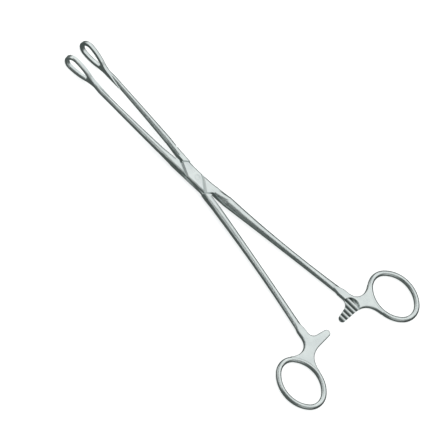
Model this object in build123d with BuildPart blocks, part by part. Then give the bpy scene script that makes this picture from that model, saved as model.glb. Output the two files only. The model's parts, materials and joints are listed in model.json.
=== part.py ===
from build123d import *
import os
from math import asin, atan2, cos, degrees, pi, radians, sin, sqrt

# Sponge holding forceps, in millimetres and degrees.
# The hinge line is the Z axis, and the flat underside of the box lock lies on Z 0.
# The handles reach to +X and the jaws to -X.
# Each half is one forging, shaped here in the closed pose and then turned to the open rest pose.
# The box half has its jaw at -Y and its ring at +Y. The tongue half is its mirror image in plan,
# and passes through the slot of the box half.

# Opening of the two halves
rest_opening = 6.8
widest_opening = 30.0
closed_jaw_gap = 0.1

# Loop jaws, seen square to their flat faces
jaw_reach = 99.9
loop_nose_radius = 5.65
loop_flank_radius = 27.0
loop_neck_radius = 14.0
loop_neck_half = 1.5
loop_rim_width = 2.25
loop_crotch_radius = 1.3
loop_thickness = 2.6
loop_rounding = 1.0
neck_end_length = 3.3
neck_end_half = 1.05
neck_inset = 0.05
flat_runout_length = 10.0
flat_runout_half = 0.15
flat_runout_depth = 1.0
serration_pitch = 0.85
serration_depth = 0.3
serration_crest = 0.12
serrated_length = 18.6

# Box lock
jaw_flats_end = 16.0
handle_flats_end = 13.0
block_half_height = 2.4
block_edge_radius = 1.2
box_apex = 12.4
box_corner_along = 8.7
box_half_width = 4.1
box_jaw_root_width = 4.3
tongue_jaw_root_width = 3.6
box_handle_root_width = 5.0
tongue_handle_root_width = 4.0
halves_gap = 0.2
tongue_thickness = 1.8
slot_side_clearance = 0.05
shoulder_clearance = 0.15
crease_by_jaws = ((-14.2, 1.2), (-2.8, -5.3))
crease_by_handles = ((-1.2, 6.0), (11.7, -5.8))
crease_half_width = 1.0
crease_depth = 0.85
pin_radius = 1.6
pin_bore_clearance = 0.05
pin_seat_clearance = 0.01
pin_edge_chamfer = 0.12
jaw_shanks_start = 26.0
handle_shanks_start = 21.0
runout_overlap = 0.5
runout_step = 0.1
shank_stations = 8
shank_notch_along = 20.2
shank_notch_length = 3.4
shank_notch_depth = 1.1

# Jaw shanks
jaw_shank_radius = 1.5
jaw_shank_root_radius = 2.05
jaw_shank_gap = 0.45
jaw_shank_bow = 0.22
jaw_shank_end = 27.0
loop_neck_joint = 20.5

# Handle shanks
handle_end = 103.0
handle_end_offset = 12.4
handle_waist_radius = 1.75
box_handle_width = 6.5
tongue_handle_width = 4.8
box_handle_root_lean = 24.0
tongue_handle_root_lean = 0.0
handle_root_half_height = 2.3
handle_root_shift = 0.05
handle_root_fade = 2.5
handle_lean = 0.75
handle_end_half_width = 2.35

# Finger rings
ring_centre_along = 126.6
ring_centre_aside = 35.0
ring_hole_long = 13.8
ring_hole_wide = 11.1
ring_wire_radius = 1.55
ring_end_radius = 10.3
ring_join_first = 205.0
ring_join_last = 276.5

# Ring neck and ratchet arm
web_thickness = 2.8
web_shank_cover = 0.08
web_rounding = 0.8
web_tail_length = 9.0
web_tail_shift = 1.2
web_fillet_start = 3.3
web_fillet_rise = 0.2
web_fillet_length = 2.6
web_outer_start = 4.0
web_outer_rise = 0.5
web_inner_along = 5.5
web_inner_aside = 18.2
web_outer_along = 1.0
web_outer_aside = 14.7
arm_before_ring = 12.7
arm_tip_width = 4.2
arm_root_width = 5.8
arm_tip_past_centre = 1.4
arm_tip_before_centre = 0.3
arm_outer_flare = 0.8
arm_root_aside = 9.0
ratchet_gap = 0.1
ratchet_pitch = 2.9
ratchet_teeth = 5
ratchet_first_crest = 1.4
ratchet_crest_width = 0.3
ratchet_depth = 0.75
ratchet_step_radius = 5.3
ratchet_step_before_arm = 1.1
ratchet_step_aside = 9.9

half_turn = rest_opening / 2
loop_tip = -jaw_reach
loop_middle = loop_tip + loop_nose_radius
arm_along = ring_centre_along - arm_before_ring
box_turn = half_turn
tongue_turn = -half_turn
mid_height = block_half_height
through = 2 * block_half_height


def turned(plane, turn):
    """The plane, lifted to the middle of the lock and turned about the hinge line with its half."""
    return Plane(Location((0, 0, mid_height), (0, 0, turn)) * plane.location)


def rises(edge, height):
    """Whether the edge's middle lies this far above or below the middle of the lock."""
    return abs(abs(edge.center().Z - mid_height) - height) < 1e-4


def loop_neck():
    """Where the neck arc of the loop meets the straight neck, and the angle its arcs turn through."""
    flank_drop = loop_flank_radius - loop_nose_radius
    neck_rise = loop_neck_half + loop_neck_radius + flank_drop
    centre_distance = loop_flank_radius + loop_neck_radius
    neck_along = loop_middle + sqrt(centre_distance**2 - neck_rise**2)
    return neck_along, degrees(asin(neck_rise / centre_distance))


def loop_outline():
    """Teardrop outline of the jaw loop with its neck."""
    flank_drop = loop_flank_radius - loop_nose_radius
    neck_along, bend = loop_neck()
    end = neck_along + neck_end_length
    CenterArc((loop_middle, 0), loop_nose_radius, 90, 180)
    for s in (1, -1):
        CenterArc((loop_middle, -s * flank_drop), loop_flank_radius, s * 90, s * (bend - 90))
        CenterArc((neck_along, s * (loop_neck_half + loop_neck_radius)), loop_neck_radius,
                  s * (bend - 180), s * (90 - bend))
        Line((neck_along, s * loop_neck_half), (end, s * neck_end_half))
    Line((end, neck_end_half), (end, -neck_end_half))


def loop_window():
    """Opening of the loop, one rim width inside the outline, with a round crotch."""
    flank_drop = loop_flank_radius - loop_nose_radius
    window_radius = loop_flank_radius - loop_rim_width
    crotch_swing = window_radius - loop_crotch_radius
    bend = degrees(asin(flank_drop / crotch_swing))
    crotch = loop_middle + sqrt(crotch_swing**2 - flank_drop**2)
    CenterArc((loop_middle, 0), loop_nose_radius - loop_rim_width, 90, 180)
    for s in (1, -1):
        CenterArc((loop_middle, -s * flank_drop), window_radius, s * 90, s * (bend - 90))
    CenterArc((crotch, 0), loop_crotch_radius, bend, -2 * bend)


def jaw_loop(side, turn):
    """The flat face looks at the other jaw, the outer face is rounded, and the flat runs out in the shank."""
    face = turned(Plane.XZ.offset(side * closed_jaw_gap / 2), turn)
    with BuildSketch(face) as loop_plan:
        with BuildLine():
            loop_outline()
        make_face()
        with BuildLine():
            loop_window()
        make_face(mode=Mode.SUBTRACT)
    extrude(loop_plan.sketch, amount=side * loop_thickness)
    outer_edges = edges().filter_by(
        lambda e: abs(face.to_local_coords(e.center()).Z - side * loop_thickness) < 1e-4
        and face.to_local_coords(e.center()).X < loop_neck()[0] + neck_end_length - 0.01)
    fillet(outer_edges, loop_rounding)
    neck_along = loop_neck()[0]
    end = neck_along + flat_runout_length
    with BuildSketch(face) as runout_plan:
        with BuildLine():
            Polyline((neck_along, loop_neck_half), (end, flat_runout_half), (end, -flat_runout_half),
                     (neck_along, -loop_neck_half), close=True)
        make_face()
    extrude(runout_plan.sketch, amount=side * flat_runout_depth)


def serrations(side, turn):
    """Straight grooves across the flat face of the loop, from its tip to past its crotch."""
    count = int(serrated_length / serration_pitch)
    face = -side * closed_jaw_gap / 2
    half = (serration_pitch - serration_crest) / 2
    with BuildSketch(turned(Plane.XY, turn)) as grooves:
        for i in range(count):
            x = loop_tip + (i + 0.5) * serration_pitch
            with BuildLine():
                Polyline((x - half, face), (x, face - side * serration_depth), (x + half, face), close=True)
            make_face()
    extrude(grooves.sketch, amount=2 * loop_nose_radius, both=True, mode=Mode.SUBTRACT)


def jaw_shank(side, turn):
    """Slender round shank from the lock to the neck of the loop."""
    end = jaw_reach - jaw_shank_end
    sections = []
    for i in range(shank_stations):
        f = i / (shank_stations - 1)
        radius = jaw_shank_radius + (jaw_shank_root_radius - jaw_shank_radius) * (1 - f)**1.5
        aside = jaw_shank_gap + jaw_shank_bow * sin(pi * f) + radius
        with BuildSketch(turned(Plane.YZ.offset(-(jaw_shanks_start + f * (end - jaw_shanks_start))), turn)) as section:
            with Locations((-side * aside, 0)):
                Circle(radius)
        sections.append(section.sketch)
    with BuildSketch(turned(Plane.YZ.offset(-(jaw_reach - loop_neck_joint)), turn)) as section:
        with Locations((-side * (closed_jaw_gap + loop_thickness) / 2, 0)):
            Ellipse(loop_thickness / 2 - neck_inset, loop_neck_half - neck_inset)
    sections.append(section.sketch)
    loft(sections, ruled=True)


def block_outline(side, jaw_root_width, handle_root_width):
    """Plan of the flat sided lock block, with the slanting edges where the other half comes out."""
    inner = halves_gap / 2

    def at(x, y):
        return (x, side * y)

    jaw_outer = at(-jaw_flats_end, -inner - jaw_root_width)
    handle_outer = at(handle_flats_end, inner + handle_root_width)
    Polyline(jaw_outer, at(-jaw_flats_end, -inner), at(-box_apex, -inner),
             at(-box_corner_along, box_half_width))
    Spline(at(-box_corner_along, box_half_width), handle_outer, tangents=[at(1, 0), at(1, 0.2)])
    Polyline(handle_outer, at(handle_flats_end, inner), at(box_apex, inner),
             at(box_corner_along, -box_half_width))
    Spline(at(box_corner_along, -box_half_width), jaw_outer, tangents=[at(-1, 0), at(-1, 0)])


def lock_block(side, turn, jaw_root_width, handle_root_width):
    """Solid block of one half in the lock, with its long edges rounded."""
    with BuildSketch(turned(Plane.XY, turn)) as plan:
        with BuildLine():
            block_outline(side, jaw_root_width, handle_root_width)
        make_face()
    extrude(plan.sketch, amount=block_half_height, both=True)
    long_edges = edges().filter_by(
        lambda e: rises(e, block_half_height) and e.length > 2 * jaw_root_width)
    fillet(long_edges, block_edge_radius)


def root_runout(side, turn, span, width, end_half_width, end_half_height, end_aside, lean):
    """Run out from the flat sided block to the round shank, toward the handles or, if minus, the jaws."""
    direction = 1 if span[0] > 0 else -1
    first = turned(Plane.YZ.offset(span[0] - direction * runout_overlap), turn)
    last = turned(Plane.YZ.offset(span[1] + direction * runout_overlap), turn)
    end_half_width -= runout_step
    end_half_height -= runout_step
    sections = []
    with BuildSketch(first) as section:
        with Locations((side * direction * (halves_gap + width) / 2, 0)):
            RectangleRounded(width - 2 * runout_step, 2 * (block_half_height - runout_step),
                             block_edge_radius)
    sections.append(section.sketch)
    with BuildSketch(last) as section:
        with Locations((side * direction * end_aside, 0)):
            RectangleRounded(2 * end_half_width, 2 * end_half_height,
                             0.98 * min(end_half_width, end_half_height), rotation=side * lean)
    sections.append(section.sketch)
    loft(sections)


def crossing_plan(side, turn):
    """Plan swept by the slanting edges of the other half, from closed to widest open."""
    edge = Vector(box_apex - box_corner_along, box_half_width + halves_gap / 2).normalized()
    reach = box_apex * edge.Y - halves_gap / 2 * edge.X + shoulder_clearance
    slant = degrees(atan2(edge.X, -edge.Y))
    with BuildSketch(turned(Plane.XY, turn)) as plan:
        for swing in (0, widest_opening):
            Rectangle(2 * reach, 3 * reach, rotation=-side * (slant + swing))
    return plan.sketch


def slot_cut(side, turn):
    """Slot through the box half, in which the tongue turns."""
    extrude(crossing_plan(side, turn), amount=tongue_thickness / 2 + slot_side_clearance, both=True,
            mode=Mode.SUBTRACT)


def tongue_cut(side, turn):
    """Both faces of the tongue half, thinned where the cheeks of the box pass over them."""
    plan = crossing_plan(side, turn)
    for face in (1, -1):
        with BuildPart(mode=Mode.PRIVATE) as cheek_space:
            extrude(Location((0, 0, face * tongue_thickness / 2)) * plan, amount=face * block_half_height)
        add(cheek_space.part, mode=Mode.SUBTRACT)


def creases(side, turn):
    """Slanting grooves filed across both cheeks, where the flats of the lock begin and end."""
    for face in (1, -1):
        level = mid_height + face * block_half_height
        for first, last in (crease_by_jaws, crease_by_handles):
            start = Vector(first[0], side * first[1], level).rotate(Axis.Z, turn)
            end = Vector(last[0], side * last[1], level).rotate(Axis.Z, turn)
            with BuildSketch(Plane(origin=start, x_dir=(0, 0, face), z_dir=end - start)) as section:
                with BuildLine():
                    Polyline((-crease_depth, 0), (crease_depth, 2 * crease_half_width),
                             (crease_depth, -2 * crease_half_width), close=True)
                make_face()
            extrude(section.sketch, amount=(end - start).length, mode=Mode.SUBTRACT)


def ratchet(side, turn):
    """The arm keeps one half of the thickness up to a round step, and its inner face has the saw teeth."""
    level = -side * ratchet_gap / 2
    reach = arm_tip_width + ratchet_step_radius
    step = (arm_along - ratchet_step_before_arm, side * ratchet_step_aside)
    with BuildSketch(turned(Plane.XY.offset(level), turn)) as plan:
        with Locations(step):
            Circle(ratchet_step_radius)
        with Locations((arm_along, side * (ratchet_step_aside - 2 * reach))):
            Rectangle(2 * reach, 4 * reach)
    with BuildSketch(turned(Plane.YZ.offset(arm_along - reach), turn)) as teeth:
        for i in range(ratchet_teeth):
            y = ratchet_first_crest + (i - 1) * ratchet_pitch
            with BuildLine():
                Polyline((side * (y + ratchet_crest_width / 2), level),
                         (side * (y + ratchet_crest_width), level - side * ratchet_depth),
                         (side * (y + ratchet_pitch - ratchet_crest_width / 2), level), close=True)
            make_face()
    with BuildPart(mode=Mode.PRIVATE) as grooves:
        extrude(teeth.sketch, amount=2 * reach)
        extrude(plan.sketch, amount=2 * web_thickness, both=True, mode=Mode.INTERSECT)
    extrude(plan.sketch, amount=side * web_thickness, mode=Mode.SUBTRACT)
    add(grooves.part, mode=Mode.SUBTRACT)


def shank_notch(side, turn):
    """Small relief with one sharp shoulder, filed in the outer edge where the jaw shank begins."""
    outer = halves_gap / 2 + tongue_jaw_root_width
    deep = -side * (outer - shank_notch_depth)
    far = -side * (outer + shank_notch_length)
    with BuildSketch(turned(Plane.XY, turn)) as plan:
        with BuildLine():
            Polyline((-shank_notch_along, far), (-shank_notch_along, deep),
                     (-shank_notch_along - shank_notch_length, -side * (outer + shank_notch_depth)),
                     (-shank_notch_along - shank_notch_length, far), close=True)
        make_face()
    extrude(plan.sketch, amount=through, both=True, mode=Mode.SUBTRACT)


def handle_section(f, root_width):
    """Half width, half height and offset of the handle shank, from its root to the ring neck."""
    root_half = root_width / 2
    end_half_height = web_thickness / 2 - web_shank_cover
    fade = (1 - f)**handle_root_fade
    half_width = (handle_waist_radius + (root_half - handle_waist_radius) * fade
                  + (handle_end_half_width - handle_waist_radius) * f**4)
    half_height = (handle_waist_radius + (handle_root_half_height - handle_waist_radius) * fade
                   + (end_half_height - handle_waist_radius) * f**4)
    root_aside = halves_gap / 2 + root_half + handle_root_shift
    aside = root_aside + (handle_end_offset - root_aside) * (handle_lean * f + (1 - handle_lean) * f**2)
    return half_width, half_height, aside


def handle_shank(side, turn, root_width, root_lean):
    """Slender shank from the lock to the neck of the ring."""
    sections = []
    for i in range(shank_stations):
        f = i / (shank_stations - 1)
        half_width, half_height, aside = handle_section(f, root_width)
        station = handle_shanks_start + f * (handle_end - handle_shanks_start)
        lean = side * root_lean * (1 - f)**handle_root_fade
        with BuildSketch(turned(Plane.YZ.offset(station), turn)) as section:
            with Locations((side * aside, 0)):
                Ellipse(half_width, half_height, rotation=lean)
        sections.append(section.sketch)
    loft(sections, ruled=True)


def finger_ring(side, turn):
    """Round wire bent to an oval of four tangent arcs."""
    long = ring_hole_long + ring_wire_radius
    wide = ring_hole_wide + ring_wire_radius
    end_centre = long - ring_end_radius
    side_radius = ((wide**2 + end_centre**2 - ring_end_radius**2) / (wide - ring_end_radius)) / 2
    side_centre = side_radius - wide
    bend = degrees(atan2(side_centre, end_centre))
    x = ring_centre_along
    y = side * ring_centre_aside
    with BuildLine(turned(Plane.XY, turn)) as path:
        CenterArc((x + end_centre, y), ring_end_radius, -bend, 2 * bend)
        CenterArc((x, y - side_centre), side_radius, bend, 180 - 2 * bend)
        CenterArc((x - end_centre, y), ring_end_radius, 180 - bend, 2 * bend)
        CenterArc((x, y + side_centre), side_radius, 180 + bend, 180 - 2 * bend)
    start = path.line @ 0
    with BuildSketch(Plane(origin=start, z_dir=path.line % 0)) as section:
        Circle(ring_wire_radius)
    sweep(section.sketch, path=path.line)


def ring_point(angle, out):
    """Point of the ring's plan, out beyond the middle of its band."""
    a = radians(angle)
    return Vector(ring_centre_along + (ring_hole_long + ring_wire_radius + out) * cos(a),
                  ring_centre_aside + (ring_hole_wide + ring_wire_radius + out) * sin(a))


def web_outline(side):
    """Neck of the ring with the ratchet arm, in plan."""
    tip_left = arm_along - arm_tip_width / 2
    tip_right = arm_along + arm_tip_width / 2
    root_right = tip_right + arm_outer_flare
    root_left = root_right - arm_root_width

    def at(x, y):
        return (x, side * y)

    start = at(handle_end - web_tail_length, handle_end_offset - web_tail_shift)
    end_half = handle_end_half_width + web_shank_cover
    inner = at(handle_end, handle_end_offset - end_half)
    fillet_start = at(handle_end + web_fillet_start, handle_end_offset - end_half + web_fillet_rise)
    fillet_end = at(root_left, arm_root_aside - web_fillet_length)
    tip_start = at(tip_left, arm_tip_before_centre)
    tip_end = at(tip_right, arm_tip_before_centre)
    arm_end = at(root_right, arm_root_aside)
    ring_last = ring_point(ring_join_last, ring_wire_radius)
    ring_last_mid = ring_point(ring_join_last, 0)
    ring_first = ring_point(ring_join_first, ring_wire_radius)
    ring_first_mid = ring_point(ring_join_first, 0)
    outer = at(handle_end + web_outer_start, handle_end_offset + end_half + web_outer_rise)
    outer_start = at(handle_end, handle_end_offset + end_half)
    Line(start, inner)
    Line(inner, fillet_start)
    Spline(fillet_start, fillet_end, tangents=[at(1, 0.1), at(0.15, -1)])
    Line(fillet_end, tip_start)
    ThreePointArc(tip_start, at(arm_along, -arm_tip_past_centre), tip_end)
    Line(tip_end, arm_end)
    Spline(arm_end, at(arm_along + web_inner_along, ring_centre_aside - web_inner_aside),
           at(ring_last.X, ring_last.Y),
           tangents=[at(0.09, 1), at(0.995, 0.095)])
    Line(at(ring_last.X, ring_last.Y), at(ring_last_mid.X, ring_last_mid.Y))
    EllipticalCenterArc((ring_centre_along, side * ring_centre_aside), ring_hole_long + ring_wire_radius,
                        ring_hole_wide + ring_wire_radius, side * ring_join_first,
                        arc_size=side * (ring_join_last - ring_join_first))
    Line(at(ring_first_mid.X, ring_first_mid.Y), at(ring_first.X, ring_first.Y))
    Spline(at(ring_first.X, ring_first.Y),
           at(arm_along - web_outer_along, ring_centre_aside - web_outer_aside), outer,
           tangents=[at(0.485, -0.875), at(-1, -0.14)])
    Line(outer, outer_start)
    Line(outer_start, start)


def ring_web(side, turn):
    """Flat neck and arm, with rounded edges, reaching into the band of the ring."""
    with BuildSketch(turned(Plane.XY, turn)) as plan:
        with BuildLine():
            web_outline(side)
        make_face()
    extrude(plan.sketch, amount=web_thickness / 2, both=True)
    centre = Vector(ring_centre_along, side * ring_centre_aside, mid_height).rotate(Axis.Z, turn)
    rim_edges = edges().filter_by(
        lambda e: rises(e, web_thickness / 2) and e.length > 2 * ring_wire_radius
        and (e.center() - centre).length > ring_hole_wide + 2 * ring_wire_radius)
    fillet(rim_edges, web_rounding)


def half(side, turn, jaw_root_width, handle_root_width, handle_width, handle_root_lean):
    """One forging, before the lock is cut."""
    jaw_root_aside = jaw_shank_gap + jaw_shank_root_radius
    handle_half_width, handle_half_height, handle_aside = handle_section(0, handle_width)
    ring_web(side, turn)
    ratchet(side, turn)
    lock_block(side, turn, jaw_root_width, handle_root_width)
    jaw_loop(side, turn)
    serrations(side, turn)
    jaw_shank(side, turn)
    handle_shank(side, turn, handle_width, handle_root_lean)
    finger_ring(side, turn)
    root_runout(side, turn, (-jaw_flats_end, -jaw_shanks_start), jaw_root_width, jaw_shank_root_radius,
                jaw_shank_root_radius, jaw_root_aside, 0)
    root_runout(side, turn, (handle_flats_end, handle_shanks_start), handle_root_width,
                handle_half_width, handle_half_height, handle_aside, handle_root_lean)


with BuildPart() as box_half:
    half(1, box_turn, box_jaw_root_width, box_handle_root_width, box_handle_width, box_handle_root_lean)
    slot_cut(1, box_turn)
    creases(1, box_turn)
    with Locations((0, 0, mid_height)):
        Cylinder(pin_radius + pin_seat_clearance, 2 * through, mode=Mode.SUBTRACT)

with BuildPart() as tongue_half:
    half(-1, tongue_turn, tongue_jaw_root_width, tongue_handle_root_width, tongue_handle_width,
         tongue_handle_root_lean)
    tongue_cut(-1, tongue_turn)
    shank_notch(-1, tongue_turn)
    with Locations((0, 0, mid_height)):
        Cylinder(pin_radius + pin_bore_clearance, 2 * through, mode=Mode.SUBTRACT)

with BuildPart() as lock_pin:
    with Locations((0, 0, mid_height)):
        Cylinder(pin_radius, through)
    chamfer(lock_pin.edges().filter_by(GeomType.CIRCLE), pin_edge_chamfer)

box_half.part.label = "box_half"
tongue_half.part.label = "tongue_half"
lock_pin.part.label = "lock_pin"

os.makedirs("parts", exist_ok=True)
export_step(box_half.part, "parts/box_half.step")
export_step(tongue_half.part, "parts/tongue_half.step")
export_step(lock_pin.part, "parts/lock_pin.step")
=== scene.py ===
import bpy
import json
import math
from mathutils import Matrix, Vector

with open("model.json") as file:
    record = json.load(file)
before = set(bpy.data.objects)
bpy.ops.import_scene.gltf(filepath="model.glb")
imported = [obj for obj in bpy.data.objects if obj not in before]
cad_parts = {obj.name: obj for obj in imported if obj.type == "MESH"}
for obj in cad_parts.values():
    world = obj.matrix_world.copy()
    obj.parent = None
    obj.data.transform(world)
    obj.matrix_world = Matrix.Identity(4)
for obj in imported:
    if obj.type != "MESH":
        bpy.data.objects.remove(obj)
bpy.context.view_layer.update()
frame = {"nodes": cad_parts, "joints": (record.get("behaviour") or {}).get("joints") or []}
scene = bpy.context.scene
nodes = frame["nodes"]

# The hinge, and how far each half stands open at rest
(hinge,) = frame["joints"]
PIVOT = Vector(hinge["pos_m"])
MID_HEIGHT = hinge["pos_m"][2]
HALF_TURN = math.radians(-hinge["range_deg"][0] / 2)

# The photo's view, tilted from straight above toward the near side, and turned in the picture
VIEW_TILT = math.radians(33.0)
IMAGE_TURN = math.radians(46.73)
METRES_PER_PIXEL = 0.5617e-3
IMAGE_SIDE = 447
PIVOT_PIXEL = (195.73, 178.75)
CAMERA_DISTANCE = 1.0

# Stretches of a half along X from the hinge, and the lengths over which their masks fade
WEB_START = 0.094
WEB_END = 0.120
WEB_FADE = 0.006
ARM_START = 0.105
ARM_FADE = 0.0001

# Ratchet teeth, with Y toward the half's own ring. The crests end at the distance TEETH_END
# beside the half's middle line, and the step lies where X times STEP_SLANT plus Y is STEP_LINE.
TOOTH_DEPTH = 0.00075
CREST_GAP = 0.0001
TEETH_END = 0.0131
TEETH_END_FADE = 0.0004
STEP_LINE = 0.0600
STEP_FADE = 0.0018
STEP_SLANT = 0.36

# Steel colours, with the darkest clouds as a share of the tint
HALF_TINT = (0.80, 0.85, 0.838)
PIN_TINT = (0.78, 0.83, 0.818)
CLOUD_SHADE = (0.88, 0.89, 0.90)
# Painted shade: colour and strength of the dark outlines on the rounded flanks
FLANK_SHADE_COLOUR = (0.17, 0.20, 0.195)
FLANK_SHADE_SHARE = 0.85
# Painted shade for the floors between the teeth; the dullness that follows is real roughness
GROOVE_SHADE_COLOUR = (0.12, 0.145, 0.14)
GROOVE_DULLNESS = 0.3

# The rings' flanks that look this way get a painted dark outline, which is painted shade
RING_SHADED_SIDE = (0.8, 0.6, 0)

# Noise has most of its values between these two, and the brush lines are noise drawn out along the piece
NOISE_LOW = 0.3
NOISE_HIGH = 0.7
BRUSH_STRETCH = 0.03

# Colour sockets of Blender's Mix node
MIX_FACTOR = 0
MIX_FIRST = 6
MIX_SECOND = 7
MIX_RESULT = 2

# Points on which the instrument rests
LOOP_REST = Vector((-0.0936, 0, -0.00325))
RING_REST = Vector((0.1398, 0, 0.00085))
FLOOR_GAP = Vector((0, 0, 0.0001))


def photo_camera():
    """Camera without perspective that sees the hinge where the photo has it."""
    along = Vector((1, 0, 0))
    across = Vector((0, math.cos(VIEW_TILT), math.sin(VIEW_TILT)))
    toward_viewer = along.cross(across)
    right = along * math.cos(IMAGE_TURN) + across * math.sin(IMAGE_TURN)
    up = across * math.cos(IMAGE_TURN) - along * math.sin(IMAGE_TURN)
    middle = IMAGE_SIDE / 2
    aim = (PIVOT + right * ((middle - PIVOT_PIXEL[0]) * METRES_PER_PIXEL)
           + up * ((PIVOT_PIXEL[1] - middle) * METRES_PER_PIXEL))
    camera = bpy.data.objects.new("camera", bpy.data.cameras.new("camera"))
    scene.collection.objects.link(camera)
    camera.data.type = "ORTHO"
    camera.data.ortho_scale = IMAGE_SIDE * METRES_PER_PIXEL
    camera.data.clip_start = 0.01
    camera.data.clip_end = 10
    turn = Matrix((right, up, toward_viewer)).transposed().to_4x4()
    camera.matrix_world = Matrix.Translation(aim + toward_viewer * CAMERA_DISTANCE) @ turn
    return camera


class MaterialNodes:
    """Short helpers, each of which adds nodes to one material and returns the output to use next."""

    def __init__(self, material):
        material.use_nodes = True
        self.tree = material.node_tree
        self.shader = self.tree.nodes["Principled BSDF"]
        self.coords = self.add("ShaderNodeTexCoord").outputs

    def add(self, kind):
        return self.tree.nodes.new(kind)

    def link(self, output, socket):
        self.tree.links.new(output, socket)

    def noise(self, scale, stretch, detail, shift):
        mapping = self.add("ShaderNodeMapping")
        mapping.inputs["Scale"].default_value = stretch
        mapping.inputs["Location"].default_value = shift
        self.link(self.coords["Object"], mapping.inputs["Vector"])
        texture = self.add("ShaderNodeTexNoise")
        texture.inputs["Scale"].default_value = scale
        texture.inputs["Detail"].default_value = detail
        self.link(mapping.outputs["Vector"], texture.inputs["Vector"])
        return texture.outputs["Fac"]

    def ramp(self, value, low_colour, high_colour):
        node = self.add("ShaderNodeValToRGB")
        low, high = node.color_ramp.elements
        low.position = 0.35
        low.color = (*low_colour, 1)
        high.position = 0.65
        high.color = (*high_colour, 1)
        self.link(value, node.inputs["Fac"])
        return node.outputs["Color"]

    def spread(self, value, low, high, start=NOISE_LOW, end=NOISE_HIGH):
        """Goes from low to high as the value goes from start to end, and stays there beyond."""
        node = self.add("ShaderNodeMapRange")
        node.inputs["From Min"].default_value = start
        node.inputs["From Max"].default_value = end
        node.inputs["To Min"].default_value = low
        node.inputs["To Max"].default_value = high
        self.link(value, node.inputs["Value"])
        return node.outputs["Result"]

    def rising(self, value, start, length):
        return self.spread(value, 0, 1, start, start + length)

    def falling(self, value, start, length):
        return self.spread(value, 1, 0, start, start + length)

    def calculated(self, operation, *values):
        node = self.add("ShaderNodeMath")
        node.operation = operation
        for socket, value in zip(node.inputs, values):
            if isinstance(value, float):
                socket.default_value = value
            else:
                self.link(value, socket)
        return node.outputs["Value"]

    def product(self, first, *others):
        for other in others:
            first = self.calculated("MULTIPLY", first, other)
        return first

    def along_line(self, coordinate, direction):
        node = self.add("ShaderNodeVectorMath")
        node.operation = "DOT_PRODUCT"
        node.inputs[1].default_value = direction
        self.link(self.coords[coordinate], node.inputs[0])
        return node.outputs["Value"]

    def axes(self, coordinate):
        node = self.add("ShaderNodeSeparateXYZ")
        self.link(self.coords[coordinate], node.inputs["Vector"])
        return node.outputs

    def mixed(self, mask, colour, other_colour):
        node = self.add("ShaderNodeMix")
        node.data_type = "RGBA"
        self.link(mask, node.inputs[MIX_FACTOR])
        self.link(colour, node.inputs[MIX_FIRST])
        node.inputs[MIX_SECOND].default_value = (*other_colour, 1)
        return node.outputs[MIX_RESULT]


def painted_flank_shade(paint, place, facing):
    """Mask of painted shade on the rounded flanks of the web and the ring, drawn into the colour as dark
    outlines.
    """
    web = paint.product(paint.rising(place["X"], WEB_START, WEB_FADE),
                        paint.falling(place["X"], WEB_END - WEB_FADE, WEB_FADE))
    ring = paint.rising(place["X"], WEB_END - WEB_FADE, WEB_FADE)
    upright = paint.calculated("ABSOLUTE", facing["Z"])
    rounded = paint.spread(upright, low=FLANK_SHADE_SHARE, high=0, start=0.80, end=0.96)
    beside = paint.rising(facing["Y"], start=-0.5, length=0.4)
    outward = paint.rising(paint.along_line("Normal", RING_SHADED_SIDE), start=0, length=0.4)
    flanks = paint.calculated("MAXIMUM", paint.product(web, beside), paint.product(ring, outward))
    return paint.product(flanks, rounded)


def painted_groove_shade(paint, place, facing, teeth_face):
    """Mask of painted shade on the floors between the teeth, and on the low wedge between the last crest
    and the step.
    """
    crest = MID_HEIGHT - teeth_face * CREST_GAP / 2
    inward = -teeth_face * TOOTH_DEPTH
    floors = paint.rising(place["Z"], start=crest + inward * 0.10, length=inward * 0.35)
    sideways = (-math.sin(HALF_TURN), teeth_face * math.cos(HALF_TURN), 0)
    past_crests = paint.rising(paint.along_line("Object", sideways), TEETH_END, TEETH_END_FADE)
    toward_step = (STEP_SLANT, teeth_face, 0)
    before_step = paint.falling(paint.along_line("Object", toward_step), STEP_LINE, STEP_FADE)
    sunk = paint.spread(place["Z"], 0, 1, MID_HEIGHT, crest)
    wedge = paint.product(past_crests, before_step, sunk)
    open_side = paint.rising(facing["Z"], start=teeth_face * 0.6, length=teeth_face * 0.2)
    arm = paint.rising(place["X"], ARM_START - ARM_FADE, ARM_FADE)
    return paint.product(paint.calculated("MAXIMUM", floors, wedge), open_side, arm)


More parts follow.
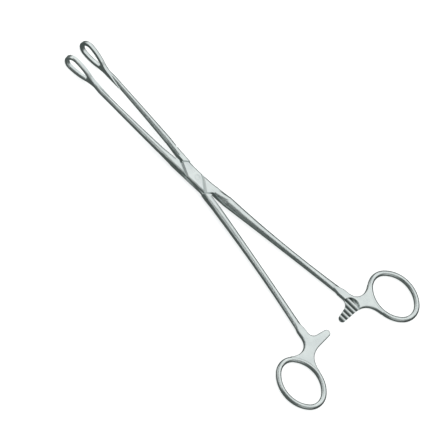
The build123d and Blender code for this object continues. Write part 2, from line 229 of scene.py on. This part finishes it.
def satin_steel(name, seed, tint, rough, brush_axis, teeth_face=0):
    """Stainless steel with fine brush lines, faint cloudy polish and hairline marks. On the halves,
    painted shade darkens the rounded flanks and the floors between the teeth.
    teeth_face is 1 or -1 on a half whose ratchet teeth look up or down, and 0 on the pin."""
    material = bpy.data.materials.new(name)
    paint = MaterialNodes(material)
    stretch = [1.0, 1.0, 1.0]
    stretch[brush_axis] = BRUSH_STRETCH
    brush = paint.noise(scale=4200, stretch=stretch, detail=3.0, shift=(seed, seed * 0.7, 0))
    clouds = paint.noise(scale=130, stretch=(1, 1, 1), detail=4.0, shift=(seed + 5.0, seed * 0.7, 1.5))
    marks = paint.noise(scale=900, stretch=(0.25, 1, 1), detail=5.0, shift=(seed + 11.0, seed * 0.7, 3.3))

    clouded = [full * shade for full, shade in zip(tint, CLOUD_SHADE)]
    colour = paint.ramp(clouds, clouded, tint)
    roughness = paint.calculated("ADD", paint.spread(brush, rough - 0.04, rough + 0.05),
                                 paint.spread(marks, -0.02, 0.03))
    if teeth_face:
        place = paint.axes("Object")
        facing = paint.axes("Normal")
        # Painted shade: dark outlines on the rounded flanks of the web and the ring
        colour = paint.mixed(painted_flank_shade(paint, place, facing), colour, FLANK_SHADE_COLOUR)
        # Painted shade in the floors between the teeth, which are also made duller
        shaded_grooves = painted_groove_shade(paint, place, facing, teeth_face)
        colour = paint.mixed(shaded_grooves, colour, GROOVE_SHADE_COLOUR)
        roughness = paint.calculated("MULTIPLY_ADD", shaded_grooves, GROOVE_DULLNESS, roughness)

    paint.shader.inputs["Metallic"].default_value = 1.0
    paint.link(colour, paint.shader.inputs["Base Color"])
    paint.link(roughness, paint.shader.inputs["Roughness"])
    bump = paint.add("ShaderNodeBump")
    bump.inputs["Strength"].default_value = 0.06
    bump.inputs["Distance"].default_value = 0.00005
    paint.link(brush, bump.inputs["Height"])
    paint.link(bump.outputs["Normal"], paint.shader.inputs["Normal"])
    return material


def dress(node, material):
    for used in nodes[node].material_slots:
        used.material = material


def pale_paint():
    """Matt sheet that glows, so that the floor is as pale and as even as the photo's."""
    material = bpy.data.materials.new("pale_floor")
    material.use_nodes = True
    shader = material.node_tree.nodes["Principled BSDF"]
    shader.inputs["Base Color"].default_value = (0.25, 0.25, 0.25, 1)
    shader.inputs["Emission Color"].default_value = (0.98, 1.0, 1.0, 1)
    shader.inputs["Emission Strength"].default_value = 0.80
    shader.inputs["Roughness"].default_value = 1.0
    shader.inputs["Specular IOR Level"].default_value = 0.0
    return material


def stage_sheet(name, side, place, slope, material):
    """Square sheet of the stage, which the steel doesn't reflect."""
    bpy.ops.mesh.primitive_plane_add(size=side)
    plane = bpy.context.object
    plane.name = name
    plane.location = place
    plane.rotation_euler = (0, -slope, 0)
    plane.data.materials.append(material)
    plane.visible_glossy = False


def softbox(name, place, aim, size, power):
    """Rectangular light that shines from place toward aim."""
    light = bpy.data.lights.new(name, "AREA")
    light.shape = "RECTANGLE"
    light.size, light.size_y = size
    light.energy = power
    lamp = bpy.data.objects.new(name, light)
    scene.collection.objects.link(lamp)
    lamp.location = place
    lamp.rotation_euler = (Vector(aim) - Vector(place)).to_track_quat("-Z", "Y").to_euler()
    return lamp


def studio_world():
    world = bpy.data.worlds.new("studio")
    world.use_nodes = True
    background = world.node_tree.nodes["Background"]
    background.inputs["Color"].default_value = (0.86, 1.0, 0.95, 1)
    background.inputs["Strength"].default_value = 0.11
    return world


scene.camera = photo_camera()

dress("box_half", satin_steel("box_half_satin_steel", seed=3.1, tint=HALF_TINT, rough=0.30,
                              brush_axis=0, teeth_face=1))
dress("tongue_half", satin_steel("tongue_half_satin_steel", seed=9.4, tint=HALF_TINT, rough=0.30,
                                 brush_axis=0, teeth_face=-1))
dress("lock_pin", satin_steel("lock_pin_ground_steel", seed=1.7, tint=PIN_TINT, rough=0.34, brush_axis=1))

# Floor just under the jaw loops and the finger rings, and a sheet far below it for low cameras
rest_line = RING_REST - LOOP_REST
pale = pale_paint()
stage_sheet("floor", 3.0, LOOP_REST - FLOOR_GAP, math.atan2(rest_line.z, rest_line.x), pale)
stage_sheet("ground", 12.0, Vector((0, 0, -0.35)), 0, pale)

# The key light hangs above and behind the lock. The floor light evens out the floor,
# and the far fills keep the steel pale from the sides and from behind.
softbox("key_softbox", place=(0.02, 0.465, 0.997), aim=(0.02, 0, 0), size=(1.6, 1.5), power=6.5)
floor_light = softbox("floor_light", place=(0.02, 0, 1.2), aim=(0.02, 0, 0), size=(2.0, 2.0), power=30.0)
floor_light.visible_glossy = False
softbox("far_right_fill", place=(0.95, -0.42, 0.45), aim=(0, 0, 0), size=(0.8, 0.8), power=0.8)
softbox("far_left_fill", place=(-0.95, -0.42, 0.45), aim=(0, 0, 0), size=(0.8, 0.8), power=1.1)

# Small near light for the lower band of the tongue half's handle shank, seen only as a reflection
handle_fill = softbox("handle_fill", place=(-0.012, -0.18, 0.18), aim=(0.055, -0.015, 0),
                      size=(0.06, 0.17), power=0.031)
handle_fill.visible_diffuse = False
handle_fill.visible_camera = False

# Fills beyond the jaws and beyond the rings
softbox("jaw_fill", place=(-0.92, 0.38, 0.42), aim=(0, 0, 0), size=(1.5, 0.8), power=3.2)
softbox("ring_fill", place=(1.1, 0.3, 0.6), aim=(0.1, 0, 0), size=(1.6, 0.9), power=0.9)

scene.world = studio_world()
scene.view_settings.view_transform = "Standard"
